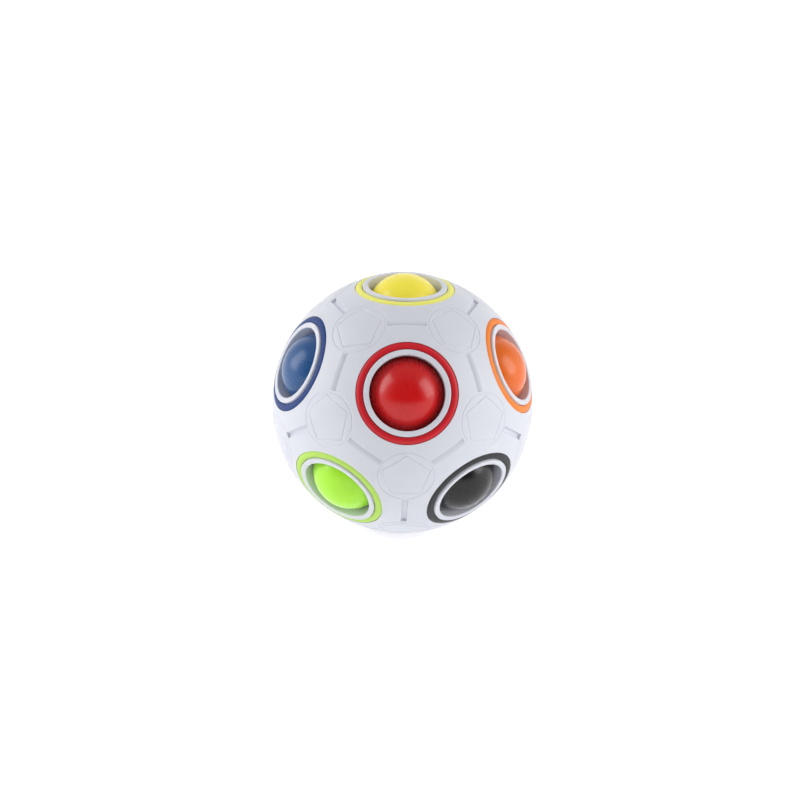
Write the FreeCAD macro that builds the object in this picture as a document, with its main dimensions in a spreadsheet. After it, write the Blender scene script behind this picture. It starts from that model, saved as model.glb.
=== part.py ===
import FreeCAD, Part
import Sketcher
import math
import os

# Rainbow puzzle ball: a white shell in two halves with twelve collared holes, a coloured ring
# pressed in around each hole, eleven balls held in the holes and a soft core that keeps them there.
# +Z is up. The ball rests on the lip of its empty hole, and the origin is the middle of that hole.

Vector = FreeCAD.Vector
Rotation = FreeCAD.Rotation
Placement = FreeCAD.Placement

doc = FreeCAD.newDocument("puzzle_ball")

# ------------------------------------------------------------------ dimensions, in millimetres

SIZES = {
    "shell_radius": 35.0,
    "shell_inner_radius": 32.0,
    "seam_groove_radius": 34.82,
    "tongue_length": 1.0,
    "tongue_radius": 33.1,
    "rebate_length": 1.1,
    "rebate_radius": 33.15,
    "lip_plane": 33.4,
    "lip_outer_radius": 11.16,
    "lip_rounding": 0.24,
    "hole_radius": 9.72,
    "collar_foot": 28.5,
    "bore_radius": 10.4,
    "bore_foot": 26.0,
    "groove_outer_radius": 13.2,
    "groove_floor": 31.4,
    "clear_height": 37.0,
    "ring_inner_radius": 11.18,
    "ring_outer_radius": 13.18,
    "ring_shoulder": 32.0,
    "ring_top_inner_radius": 11.34,
    "ring_top_inner_height": 32.78,
    "ring_top_outer_radius": 13.08,
    "ring_top_outer_height": 32.26,
    "ring_dome_radius": 1.5,
    "ball_radius": 10.0,
    "ball_reach": 26.2,
    "seat_gap": 0.06,
    "core_radius": 16.14,
    "core_hollow_radius": 13.6,
    "line_radius": 0.33,
    "line_depth": 0.12,
    "circle_radius": 7.24,
    "circle_height": 34.46,
    "slot_length": 10.1,
    "slot_width": 1.72,
    "slot_depth": 0.5,
    "slot_round": 3.0,
    "slot_wall_offset": 0.82,
    "trench_radius": 0.8,
    "trench_depth": 0.75,
}

sheet = doc.addObject("Spreadsheet::Sheet", "Dimensions")
for row, (word, number) in enumerate(SIZES.items(), start=1):
    sheet.set(f"A{row}", word)
    sheet.set(f"B{row}", str(number))
    sheet.setAlias(f"B{row}", word)
doc.recompute()


class Size:
    """A length and the spreadsheet expression for it, so that a sketch and its constraint agree."""

    def __init__(self, text, value):
        self.text = text
        self.value = value

    def __add__(self, other):
        return Size(f"({self.text} + {other.text})", self.value + other.value)

    def __sub__(self, other):
        return Size(f"({self.text} - {other.text})", self.value - other.value)

    def times(self, factor):
        return Size(f"({self.text} * {factor})", self.value * factor)


def size(word):
    return Size(f"Dimensions.{word}", SIZES[word])


ZERO = Size("0", 0.0)


def bind(item, **sizes):
    """Tie an object's sizes to the sheet."""
    for name, length in sizes.items():
        item.setExpression(name, length.text)


# ------------------------------------------------------------------ directions

HOLE_ANGLE = 63.4349488
INNER_PAD_ANGLE = 37.3773681
OUTER_PAD_ANGLE = 79.1876831
PENTAGON_ANGLE = 10.6
FIFTH = 72

POLE = Vector(0, 0, 1)


def polar(tilt, turn):
    """The unit vector tilted from +Z by one angle and turned about +Z by the other."""
    a = math.radians(tilt)
    b = math.radians(turn)
    return Vector(math.sin(a) * math.cos(b), math.sin(a) * math.sin(b), math.cos(a))


def facing(direction, toward):
    """The rotation that takes +Z to a direction, with +X leaning toward a second one."""
    side = (toward - direction * toward.dot(direction)).normalize()
    return Rotation(side, direction.cross(side), direction, "ZXY")


# The front half looks toward -Y, tipped up so that its first tilted hole faces straight up.
# The rear half is the same moulding turned over about X, so its first tilted hole faces down.
FRONT = facing(polar(HOLE_ANGLE, -90), POLE)
REAR = Rotation(Vector(1, 0, 0), 180) * FRONT
HALF_HOLES = [POLE] + [polar(HOLE_ANGLE, FIFTH * k) for k in range(5)]
FRONT_COLOURS = ["red", "yellow", "blue", "lime", "black", "orange"]
REAR_COLOURS = ["purple", "white", "pink", "cyan", "green", "brown"]
EMPTY = "white"

HOLES = {}
for half, colours in ((FRONT, FRONT_COLOURS), (REAR, REAR_COLOURS)):
    for colour, hole in zip(colours, HALF_HOLES):
        HOLES[colour] = half.multVec(hole)

# ------------------------------------------------------------------ sketching


def origin_part(body, role):
    return next(f for f in body.Origin.OriginFeatures if f.Role == role)


def arc_middle(start, end, radius):
    """The middle of the arc that bulges to the right of the way from start to end."""
    chord = end - start
    left = Vector(-chord.y, chord.x, 0).normalize()
    return (start + end) / 2 + left * math.sqrt(radius**2 - (chord.Length / 2) ** 2)


def draw(sketch, corners, arcs):
    """A closed outline, counterclockwise through its corners. arcs: first corner to radius."""
    points = [Vector(across.value, up.value, 0) for across, up in corners]
    for i, start in enumerate(points):
        end = points[(i + 1) % len(points)]
        if i in arcs:
            middle = arc_middle(start, end, arcs[i].value)
            circle = Part.Circle(middle, Vector(0, 0, 1), arcs[i].value)
            angles = [math.atan2(p.y - middle.y, p.x - middle.x) for p in (start, end)]
            sketch.addGeometry(Part.ArcOfCircle(circle, *angles), False)
        else:
            sketch.addGeometry(Part.LineSegment(start, end), False)
    for i, corner in enumerate(corners):
        before = (i - 1) % len(corners)
        sketch.addConstraint(Sketcher.Constraint("Coincident", before, 2, i, 1))
        for kind, length in zip(("DistanceX", "DistanceY"), corner):
            hold(sketch, Sketcher.Constraint(kind, -1, 1, i, 1, length.value), length)
    for i, radius in arcs.items():
        hold(sketch, Sketcher.Constraint("Radius", i, radius.value), radius)


def hold(sketch, constraint, length):
    index = sketch.addConstraint(constraint)
    if length is not ZERO:
        sketch.setExpression(f"Constraints[{index}]", length.text)


def revolved(name, corners, arcs):
    """A body turned about its own Z axis from an outline of radii and heights."""
    body = doc.addObject("PartDesign::Body", name)
    sketch = body.newObject("Sketcher::SketchObject", f"{name}_profile")
    sketch.AttachmentSupport = [(origin_part(body, "XZ_Plane"), "")]
    sketch.MapMode = "FlatFace"
    draw(sketch, corners, arcs)
    turned = body.newObject("PartDesign::Revolution", f"{name}_turned")
    turned.Profile = sketch
    turned.ReferenceAxis = (sketch, ["V_Axis"])
    turned.Angle = 360
    body.Tip = turned
    return body


# ------------------------------------------------------------------ shapes by boolean


def cut(name, base, tool):
    result = doc.addObject("Part::Cut", name)
    result.Base = base
    result.Tool = tool
    return result


def join(name, shapes):
    result = doc.addObject("Part::MultiFuse", name)
    result.Shapes = shapes
    return result


def instance(name, shape, rotation):
    link = doc.addObject("App::Link", name)
    link.LinkedObject = shape
    link.LinkTransform = True
    link.Placement = Placement(Vector(), rotation)
    return link


def sphere(name, radius):
    ball = doc.addObject("Part::Sphere", name)
    bind(ball, Radius=radius)
    return ball


# ------------------------------------------------------------------ holes, collars and rings


def make_hole():
    """What a hole takes out of the shell: the bore, and the ring's groove above it."""
    foot = size("bore_foot")
    floor = size("groove_floor")
    clear = size("clear_height")
    bore = size("bore_radius")
    wide = size("groove_outer_radius")
    outline = [
        (ZERO, foot),
        (bore, foot),
        (bore, floor),
        (wide, floor),
        (wide, clear),
        (ZERO, clear),
    ]
    return revolved("hole", outline, {})


def make_collar():
    """The white lip around a hole: a short tube with a flat, round-edged top."""
    hole = size("hole_radius")
    outer = size("lip_outer_radius")
    foot = size("collar_foot")
    top = size("lip_plane")
    rounding = size("lip_rounding")
    outline = [
        (hole, foot),
        (outer, foot),
        (outer, top - rounding),
        (outer - rounding, top),
        (hole + rounding, top),
        (hole, top - rounding),
    ]
    return revolved("collar", outline, {2: rounding, 4: rounding})


def make_ring(colour):
    """A coloured ring: a square foot down in the groove and a domed top level with the shell."""
    outline = [
        (size("ring_inner_radius"), size("groove_floor")),
        (size("ring_outer_radius"), size("groove_floor")),
        (size("ring_outer_radius"), size("ring_shoulder")),
        (size("ring_top_outer_radius"), size("ring_top_outer_height")),
        (size("ring_top_inner_radius"), size("ring_top_inner_height")),
        (size("ring_inner_radius"), size("ring_shoulder")),
    ]
    ring = revolved(f"ring_{colour}", outline, {3: size("ring_dome_radius")})
    ring.Placement = Placement(Vector(), Rotation(POLE, HOLES[colour]))
    ring.setExpression("Placement.Base.z", size("lip_plane").text)
    return ring


# ------------------------------------------------------------------ balls and core


def make_ball(colour):
    ball = sphere(f"ball_{colour}", size("ball_radius"))
    way = HOLES[colour]
    reach = size("ball_reach")
    ball.setExpression("Placement.Base.x", reach.times(way.x).text)
    ball.setExpression("Placement.Base.y", reach.times(way.y).text)
    ball.setExpression("Placement.Base.z", (size("lip_plane") + reach.times(way.z)).text)
    return ball


def make_core():
    """The soft hollow ball in the middle, which bears on all eleven balls."""
    outside = sphere("core_outside", size("core_radius"))
    hollow = sphere("core_hollow", size("core_hollow_radius"))
    core = cut("core", outside, hollow)
    core.setExpression("Placement.Base.z", size("lip_plane").text)
    return core


# ------------------------------------------------------------------ relief on the shell


def on_edge(start, end):
    """The rotation that lays an arc of the ball from one direction to another: +X outward."""
    outward = (start + end).normalize()
    way = (end - start).normalize()
    return Rotation(outward, way, outward.cross(way), "XYZ")


def make_pad():
    """The fine round-bottomed lines of one pad: a pentagon inside a circle, both on the ball."""
    radius = size("line_radius")
    ring = doc.addObject("Part::Torus", "line_ring")
    bind(ring, Radius1=size("shell_radius") - size("line_depth") + radius, Radius2=radius)
    fifth = doc.addObject("Part::Cylinder", "pad_fifth")
    bind(fifth, Radius=size("circle_radius"), Height=size("clear_height"))
    fifth.Angle = FIFTH
    side = doc.addObject("Part::Common", "pentagon_side")
    side.Base = instance(
        "side_ring", ring, on_edge(polar(PENTAGON_ANGLE, 0), polar(PENTAGON_ANGLE, FIFTH))
    )
    side.Tool = fifth
    circle = doc.addObject("Part::Torus", "pad_circle")
    bind(circle, Radius1=size("circle_radius"), Radius2=radius)
    circle.setExpression("Placement.Base.z", size("circle_height").text)
    turns = [Rotation(POLE, FIFTH * k) for k in range(5)]
    return join("pad", [circle] + [instance(f"side_{k}", side, t) for k, t in enumerate(turns)])


def slot_long(name, groove):
    """One slot's length of a groove that runs all round the ball, with the slot's middle on +X."""
    block = doc.addObject("Part::Box", f"{name}_block")
    length = size("slot_length")
    bind(block, Length=size("clear_height"), Width=length, Height=length)
    block.setExpression("Placement.Base.y", length.times(-0.5).text)
    block.setExpression("Placement.Base.z", length.times(-0.5).text)
    slot = doc.addObject("Part::Common", name)
    slot.Base = groove
    slot.Tool = block
    return slot


def make_notch():
    """A slot beside the pole hole: a wall along the pole, and a floor that rolls up to the ball."""
    surface = size("shell_radius")
    depth = size("slot_depth")
    lean = math.tan(math.radians(HOLE_ANGLE / 2))
    foot = depth.times(lean) - size("slot_wall_offset")
    run_out = size("slot_width") - size("slot_wall_offset")
    outline = [
        (surface - depth, foot),
        (surface, run_out),
        (surface + depth, run_out + size("slot_width")),
        (surface + depth.times(3), foot - depth.times(4 * lean)),
    ]
    return slot_long("notch", revolved("notch_groove", outline, {0: size("slot_round")}))


def make_trench():
    """A round-bottomed slot for the other edges."""
    groove = doc.addObject("Part::Torus", "trench_groove")
    radius = size("trench_radius")
    bind(groove, Radius1=size("shell_radius") - size("trench_depth") + radius, Radius2=radius)
    return slot_long("trench", groove)


def make_relief():
    """Every groove and slot on one half, in the half's own frame with its pole along +Z."""
    pad = make_pad()
    notch = make_notch()
    trench = make_trench()
    parts = []
    for k in range(5):
        turn = FIFTH * k
        before = polar(INNER_PAD_ANGLE, turn - FIFTH / 2)
        near = polar(INNER_PAD_ANGLE, turn + FIFTH / 2)
        far = polar(OUTER_PAD_ANGLE, turn + FIFTH / 2)
        beyond = polar(180 - OUTER_PAD_ANGLE, turn)
        after = polar(180 - OUTER_PAD_ANGLE, turn + FIFTH)
        parts.append(instance(f"near_pad_{k}", pad, facing(near, POLE)))
        parts.append(instance(f"far_pad_{k}", pad, facing(far, POLE)))
        parts.append(instance(f"beyond_pad_{k}", pad, facing(beyond, -POLE)))
        parts.append(instance(f"notch_{k}", notch, on_edge(near, before)))
        parts.append(instance(f"trench_{k}", trench, on_edge(near, far)))
        parts.append(instance(f"seam_trench_{k}a", trench, on_edge(far, beyond)))
        parts.append(instance(f"seam_trench_{k}b", trench, on_edge(far, after)))
    return join("relief", parts)


# ------------------------------------------------------------------ the two halves of the shell


def make_halves():
    hole = make_hole()
    collar = make_collar()
    seat = sphere("seat", size("ball_radius") + size("seat_gap"))
    seat.setExpression("Placement.Base.z", size("ball_reach").text)
    relief = make_relief()
    turns = [Rotation(POLE, way) for way in HALF_HOLES]
    holes = join("holes", [instance(f"hole_{i}", hole, t) for i, t in enumerate(turns)])
    collars = [instance(f"collar_{i}", collar, t) for i, t in enumerate(turns)]
    seats = join("seats", [instance(f"seat_{i}", seat, t) for i, t in enumerate(turns)])
    seam = revolved(
        "seam_groove",
        [
            (size("seam_groove_radius"), ZERO),
            (size("clear_height"), ZERO),
            (size("clear_height"), size("clear_height") - size("seam_groove_radius")),
        ],
        {},
    )

    outside = sphere("outside", size("shell_radius"))
    outside.Angle1 = 0
    bowl = cut("bowl", outside, sphere("inside", size("shell_inner_radius")))
    pierced = cut("pierced", cut("seamed", bowl, seam), holes)
    collared = join("collared", [pierced] + collars)
    moulding = cut("moulding", cut("seated", collared, seats), relief)

    front = join("front_shell", [moulding, make_tongue()])
    rebate = doc.addObject("Part::Cylinder", "rebate")
    bind(rebate, Radius=size("rebate_radius"), Height=size("rebate_length"))
    rear = cut("rear_shell", moulding, rebate)
    for shell, rotation in ((front, FRONT), (rear, REAR)):
        shell.Placement = Placement(Vector(), rotation)
        shell.setExpression("Placement.Base.z", size("lip_plane").text)
    return [front, rear]


def make_tongue():
    """The rim inside the front half's edge, which enters the rear half's rebate."""
    rims = []
    for name, radius in (("rim", "tongue_radius"), ("rim_inside", "shell_inner_radius")):
        rim = doc.addObject("Part::Cylinder", name)
        bind(rim, Radius=size(radius), Height=size("tongue_length").times(1.3))
        rim.setExpression("Placement.Base.z", size("tongue_length").times(-1).text)
        rims.append(rim)
    return cut("tongue", *rims)


# ------------------------------------------------------------------ build, check and write

nodes = make_halves()
nodes += [make_ring(colour) for colour in HOLES]
nodes += [make_ball(colour) for colour in HOLES if colour != EMPTY]
nodes.append(make_core())
doc.recompute()

for item in doc.Objects:
    if "Invalid" in item.State or "Error" in item.State:
        raise RuntimeError(f"{item.Name} did not build: {item.State}")
    if item.TypeId == "Part::Cut" and item.Shape.Volume > item.Base.Shape.Volume - 1e-3:
        raise RuntimeError(f"{item.Name} removes nothing")
    if item.TypeId == "Part::MultiFuse":
        if item.Shape.Volume < max(piece.Shape.Volume for piece in item.Shapes):
            raise RuntimeError(f"{item.Name} loses one of its pieces")

os.makedirs("parts", exist_ok=True)
for node in nodes:
    node.Label = node.Name
    shape = node.Shape
    if shape.isNull() or not shape.isValid() or len(shape.Solids) != 1:
        raise RuntimeError(f"{node.Label} is not one good solid")
    shape.exportStep(f"parts/{node.Label}.step")
    print(f"{node.Label}: {shape.Volume:.1f} mm3")
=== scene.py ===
import math

import bmesh
import bpy
from mathutils import Matrix, Vector


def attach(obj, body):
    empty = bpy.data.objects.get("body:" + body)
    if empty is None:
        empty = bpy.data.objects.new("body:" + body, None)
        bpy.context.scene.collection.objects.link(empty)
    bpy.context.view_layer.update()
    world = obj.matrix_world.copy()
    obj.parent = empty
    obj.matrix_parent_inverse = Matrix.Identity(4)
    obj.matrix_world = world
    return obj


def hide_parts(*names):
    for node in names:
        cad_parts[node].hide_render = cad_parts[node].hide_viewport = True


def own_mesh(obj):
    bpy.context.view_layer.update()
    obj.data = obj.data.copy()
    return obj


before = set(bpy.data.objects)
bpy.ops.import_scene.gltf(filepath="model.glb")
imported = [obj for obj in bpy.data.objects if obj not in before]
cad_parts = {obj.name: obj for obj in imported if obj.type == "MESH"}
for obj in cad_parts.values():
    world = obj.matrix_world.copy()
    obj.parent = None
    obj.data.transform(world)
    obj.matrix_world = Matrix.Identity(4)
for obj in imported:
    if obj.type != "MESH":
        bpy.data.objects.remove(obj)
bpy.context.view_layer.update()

MM = 0.001
CENTRE_HEIGHT = 33.4 * MM
CENTRE = Vector((0, 0, CENTRE_HEIGHT))
CORE_RADIUS = 16.14 * MM
CORE_HOLLOW = 13.6 * MM


def polar(azimuth, elevation):
    """The unit vector at an azimuth from +X and an elevation, both in degrees."""
    a = math.radians(azimuth)
    e = math.radians(elevation)
    return Vector((math.cos(a) * math.cos(e), math.sin(a) * math.cos(e), math.sin(e)))


# The holes face as the corners of an icosahedron: one up, one down, and two rings of five tilted
# by this many degrees up and down.
TILT = 26.5650512
HOLES = {
    "yellow": Vector((0, 0, 1)),
    "red": polar(-90, TILT),
    "orange": polar(-18, TILT),
    "green": polar(54, TILT),
    "cyan": polar(126, TILT),
    "blue": polar(-162, TILT),
    "black": polar(-54, -TILT),
    "lime": polar(-126, -TILT),
    "brown": polar(18, -TILT),
    "purple": polar(90, -TILT),
    "pink": polar(162, -TILT),
    "white": Vector((0, 0, -1)),
}

# ------------------------------------------------------------------ colours


def linear(red, green, blue):
    """A colour given as it looks on a screen, 0 to 255, as the shader takes it."""

    def channel(v):
        v /= 255
        return v / 12.92 if v <= 0.04045 else ((v + 0.055) / 1.055) ** 2.4

    return (channel(red), channel(green), channel(blue), 1.0)


BALL_COLOURS = {
    "red": (200, 6, 10),
    "yellow": (255, 236, 72),
    "orange": (234, 106, 4),
    "blue": (34, 84, 140),
    "black": (8, 8, 9),
    "lime": (172, 240, 50),
    "green": (22, 120, 60),
    "purple": (108, 52, 150),
    "pink": (240, 116, 168),
    "cyan": (70, 180, 224),
    "brown": (116, 68, 40),
}
RING_COLOURS = {
    "red": (204, 24, 38),
    "yellow": (244, 242, 116),
    "orange": (246, 132, 34),
    "blue": (4, 54, 122),
    "black": (44, 44, 47),
    "lime": (184, 224, 96),
    "green": (30, 126, 66),
    "purple": (114, 58, 154),
    "pink": (242, 124, 174),
    "cyan": (84, 188, 228),
    "brown": (122, 74, 46),
    "white": (232, 232, 238),
}

# ------------------------------------------------------------------ materials


class Nodes:
    """A material's node tree, with the links written as arguments."""

    def __init__(self, name):
        self.material = bpy.data.materials.new(name)
        self.material.use_nodes = True
        self.tree = self.material.node_tree
        self.tree.nodes.clear()

    def add(self, kind, values=None, **settings):
        node = self.tree.nodes.new(kind)
        for key, value in settings.items():
            setattr(node, key, value)
        for key, value in (values or {}).items():
            if isinstance(value, bpy.types.NodeSocket):
                self.tree.links.new(value, node.inputs[key])
            else:
                node.inputs[key].default_value = value
        return node


def plastic(name, colour, roughness, grain, scatter=0.0, coat=0.0, scuffs=0.0):
    """Moulded plastic: colour and gloss slightly uneven, a slow ripple, a fine grain and scuffs."""
    darkest, lightest = 0.955, 1.035
    smoothest, roughest = 0.88, 1.14
    nodes = Nodes(name)
    place = nodes.add("ShaderNodeTexCoord").outputs["Object"]
    cloud = nodes.add(
        "ShaderNodeTexNoise", {"Vector": place, "Scale": 70.0, "Detail": 4.0, "Roughness": 0.55}
    ).outputs["Fac"]
    fine = nodes.add(
        "ShaderNodeTexNoise", {"Vector": place, "Scale": 2600.0, "Detail": 2.0, "Roughness": 0.6}
    ).outputs["Fac"]
    drawn = nodes.add(
        "ShaderNodeMapping", {"Vector": place, "Rotation": (0.5, 0.3, 0.9), "Scale": (1, 0.06, 0.5)}
    )
    hair = nodes.add(
        "ShaderNodeTexNoise",
        {"Vector": drawn.outputs["Vector"], "Scale": 2200.0, "Detail": 3.0, "Distortion": 0.4},
    )
    marks = nodes.add(
        "ShaderNodeMapRange",
        {"Value": hair.outputs["Fac"], "From Min": 0.56, "From Max": 0.72, "To Max": scuffs},
    ).outputs["Result"]
    tint = nodes.add(
        "ShaderNodeMix",
        {
            "Factor": cloud,
            "A": [c * darkest for c in colour[:3]] + [1],
            "B": [min(1, c * lightest) for c in colour[:3]] + [1],
        },
        data_type="RGBA",
    )
    gloss = nodes.add(
        "ShaderNodeMapRange",
        {
            "Value": cloud,
            "From Min": 0.3,
            "From Max": 0.7,
            "To Min": roughness * smoothest,
            "To Max": roughness * roughest,
        },
    )
    rubbed = nodes.add(
        "ShaderNodeMath", {0: gloss.outputs["Result"], 1: marks}, operation="ADD", use_clamp=True
    )
    ripple = nodes.add(
        "ShaderNodeBump", {"Height": cloud, "Strength": 0.06, "Distance": 0.4 * MM}
    )
    scratch = nodes.add(
        "ShaderNodeBump",
        {
            "Height": marks,
            "Strength": 0.25,
            "Distance": 0.03 * MM,
            "Normal": ripple.outputs["Normal"],
        },
        invert=True,
    )
    pores = nodes.add(
        "ShaderNodeBump",
        {
            "Height": fine,
            "Strength": grain,
            "Distance": 0.04 * MM,
            "Normal": scratch.outputs["Normal"],
        },
    )
    shader = nodes.add(
        "ShaderNodeBsdfPrincipled",
        {
            "Base Color": tint.outputs["Result"],
            "Roughness": rubbed.outputs["Value"],
            "Normal": pores.outputs["Normal"],
            "Subsurface Weight": scatter,
            "Subsurface Radius": (1.0, 0.95, 0.9),
            "Subsurface Scale": 0.6 * MM,
            "Coat Weight": coat,
            "Coat Roughness": 0.16,
            "IOR": 1.43,
        },
    )
    nodes.add("ShaderNodeOutputMaterial", {"Surface": shader.outputs["BSDF"]})
    return nodes.material


def coat_node(name, material):
    """Gives a carried-over CAD node its material."""
    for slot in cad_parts[name].material_slots:
        slot.material = material


shell_white = plastic("shell_white", linear(216, 218, 227), 0.42, 0.25, scatter=0.15)
coat_node("front_shell", shell_white)
coat_node("rear_shell", shell_white)
for colour, screen in RING_COLOURS.items():
    coat_node(
        f"ring_{colour}", plastic(f"ring_{colour}", linear(*screen), 0.46, 0.2, scatter=0.08)
    )
for colour, screen in BALL_COLOURS.items():
    coat_node(
        f"ball_{colour}",
        plastic(f"ball_{colour}", linear(*screen), 0.27, 0.03, coat=0.2, scuffs=0.07),
    )

# ------------------------------------------------------------------ the soft core


def sector_outline(way):
    """The five corners, in order round a hole's axis, of that hole's share of the core."""
    # the five holes next to this one, 63 degrees away
    near = [v for v in HOLES.values() if 0.4 < v.dot(way) < 0.9]
    side = (near[0] - way * near[0].dot(way)).normalized()
    other = way.cross(side)
    near.sort(key=lambda v: math.atan2(v.dot(other), v.dot(side)))
    return [(way + a + b).normalized() for a, b in zip(near, near[1:] + near[:1])]


def sector(name, way, steps=9):
    """One of the twelve shares of the hollow core, closed at its sides, as a mesh."""
    mesh = bmesh.new()
    corners = sector_outline(way)
    for a, b in zip(corners, corners[1:] + corners[:1]):
        for radius, flip in ((CORE_RADIUS, False), (CORE_HOLLOW, True)):
            rows = []
            for i in range(steps + 1):
                rows.append([])
                for j in range(i + 1):
                    spot = way * (steps - i) + a * (i - j) + b * j
                    rows[-1].append(mesh.verts.new(CENTRE + spot.normalized() * radius))
            for i in range(steps):
                for j in range(i + 1):
                    faces = [(rows[i][j], rows[i + 1][j], rows[i + 1][j + 1])]
                    if j < i:
                        faces.append((rows[i][j], rows[i + 1][j + 1], rows[i][j + 1]))
                    for face in faces:
                        mesh.faces.new(face[::-1] if flip else face).smooth = True
            if flip:
                inner = rows[-1]
            else:
                outer = rows[-1]
        for j in range(steps):
            mesh.faces.new((outer[j + 1], outer[j], inner[j], inner[j + 1]))
    bmesh.ops.remove_doubles(mesh, verts=mesh.verts, dist=1e-6)
    data = bpy.data.meshes.new(name)
    mesh.to_mesh(data)
    mesh.free()
    data.set_sharp_from_angle(angle=math.radians(40))
    item = bpy.data.objects.new(name, data)
    bpy.context.collection.objects.link(item)
    return item


rubber = plastic("core_rubber", linear(222, 218, 208), 0.7, 0.6, scatter=0.2)
for colour, way in HOLES.items():
    share = sector(f"core_{colour}", way)
    share.data.materials.append(rubber)
    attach(share, "shell")
    if colour == "white":
        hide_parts("core")
    elif colour != "purple":
        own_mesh(share)

# ------------------------------------------------------------------ stage, light and camera


def paper():
    """Matt paper lit from behind a little, as on a light table, so that it stays white."""
    nodes = Nodes("paper")
    shader = nodes.add(
        "ShaderNodeBsdfPrincipled",
        {
            "Base Color": (0.88, 0.88, 0.88, 1),
            "Roughness": 0.9,
            "Emission Color": (1, 1, 1, 1),
            "Emission Strength": 0.4,
        },
    )
    nodes.add("ShaderNodeOutputMaterial", {"Surface": shader.outputs["BSDF"]})
    return nodes.material


def floor():
    """A pale sheet on the table that curves up behind the ball."""
    front, back, radius, height = -1.4, 1.0, 0.5, 2.2
    half_width = 2.2
    steps = 24
    points = [(front, 0.0)]
    for i in range(steps + 1):
        a = math.pi / 2 * i / steps
        points.append((back + radius * math.sin(a), radius - radius * math.cos(a)))
    points.append((back + radius, height))
    vertices = [(x, y, z) for y, z in points for x in (-half_width, half_width)]
    faces = [(2 * i, 2 * i + 1, 2 * i + 3, 2 * i + 2) for i in range(len(points) - 1)]
    mesh = bpy.data.meshes.new("floor")
    mesh.from_pydata(vertices, [], faces)
    for polygon in mesh.polygons:
        polygon.use_smooth = True
    item = bpy.data.objects.new("floor", mesh)
    bpy.context.collection.objects.link(item)
    mesh.materials.append(paper())


def softbox(name, direction, distance, width, height, power):
    """A rectangular lamp that faces the ball, its height upright."""
    light = bpy.data.lights.new(name, "AREA")
    light.shape = "RECTANGLE"
    light.size = width
    light.size_y = height
    light.energy = power
    item = bpy.data.objects.new(name, light)
    bpy.context.collection.objects.link(item)
    way = Vector(direction).normalized()
    item.location = CENTRE + way * distance
    item.rotation_euler = way.to_track_quat("Z", "Y").to_euler()
    return item


def room():
    """White walls at eye level, dimmer overhead, dark behind the camera; the backdrop is white."""
    sky = bpy.data.worlds.new("room")
    sky.use_nodes = True
    tree = sky.node_tree
    tree.nodes.clear()
    link = tree.links.new

    def ramp(source, start, end, low, high):
        node = tree.nodes.new("ShaderNodeMapRange")
        node.interpolation_type = "SMOOTHSTEP"
        node.inputs["From Min"].default_value = start
        node.inputs["From Max"].default_value = end
        node.inputs["To Min"].default_value = low
        node.inputs["To Max"].default_value = high
        link(source, node.inputs["Value"])
        return node.outputs["Result"]

    def shade(strength):
        node = tree.nodes.new("ShaderNodeBackground")
        node.inputs["Color"].default_value = (1, 1, 1, 1)
        if isinstance(strength, float):
            node.inputs["Strength"].default_value = strength
        else:
            link(strength, node.inputs["Strength"])
        return node.outputs["Background"]

    split = tree.nodes.new("ShaderNodeSeparateXYZ")
    link(tree.nodes.new("ShaderNodeTexCoord").outputs["Generated"], split.inputs["Vector"])
    both = tree.nodes.new("ShaderNodeMath")
    both.operation = "MULTIPLY"
    link(ramp(split.outputs["Z"], 0.2, 0.75, 1.24, 0.46), both.inputs[0])
    link(ramp(split.outputs["Y"], -0.8, -0.1, 0.07, 1.0), both.inputs[1])
    mix = tree.nodes.new("ShaderNodeMixShader")
    link(tree.nodes.new("ShaderNodeLightPath").outputs["Is Camera Ray"], mix.inputs["Fac"])
    link(shade(both.outputs["Value"]), mix.inputs[1])
    link(shade(1.0), mix.inputs[2])
    link(mix.outputs["Shader"], tree.nodes.new("ShaderNodeOutputWorld").inputs["Surface"])
    bpy.context.scene.world = sky


def camera():
    """The camera looks down a little on the red hole, rolled slightly as it was held."""
    around, elevation, roll = -2.248, 22.413, 1.3215
    front_azimuth = -90
    distance = 578 * MM
    aside, above = -0.63 * MM, 0.65 * MM
    data = bpy.data.cameras.new("camera")
    data.sensor_width = 36
    data.lens = 96.61
    item = bpy.data.objects.new("camera", data)
    bpy.context.collection.objects.link(item)
    back = polar(front_azimuth + around, elevation)
    level = back.to_track_quat("Z", "Y").to_matrix()
    turn = level @ Matrix.Rotation(math.radians(roll), 3, "Z")
    item.location = CENTRE + turn @ Vector((aside, above, distance))
    item.rotation_euler = turn.to_euler()
    bpy.context.scene.camera = item


floor()
room()
softbox("left_box", (-0.85, 0.03, 0.47), 1.1, 0.6, 0.9, 5.0)
softbox("right_box", (0.85, -0.24, 0.45), 1.1, 0.6, 0.9, 5.0)
fill = softbox("front_fill", (-0.1, -0.85, 0.6), 1.4, 1.0, 0.8, 3.0)
fill.visible_glossy = False
camera()
bpy.context.scene.view_settings.view_transform = "Standard"
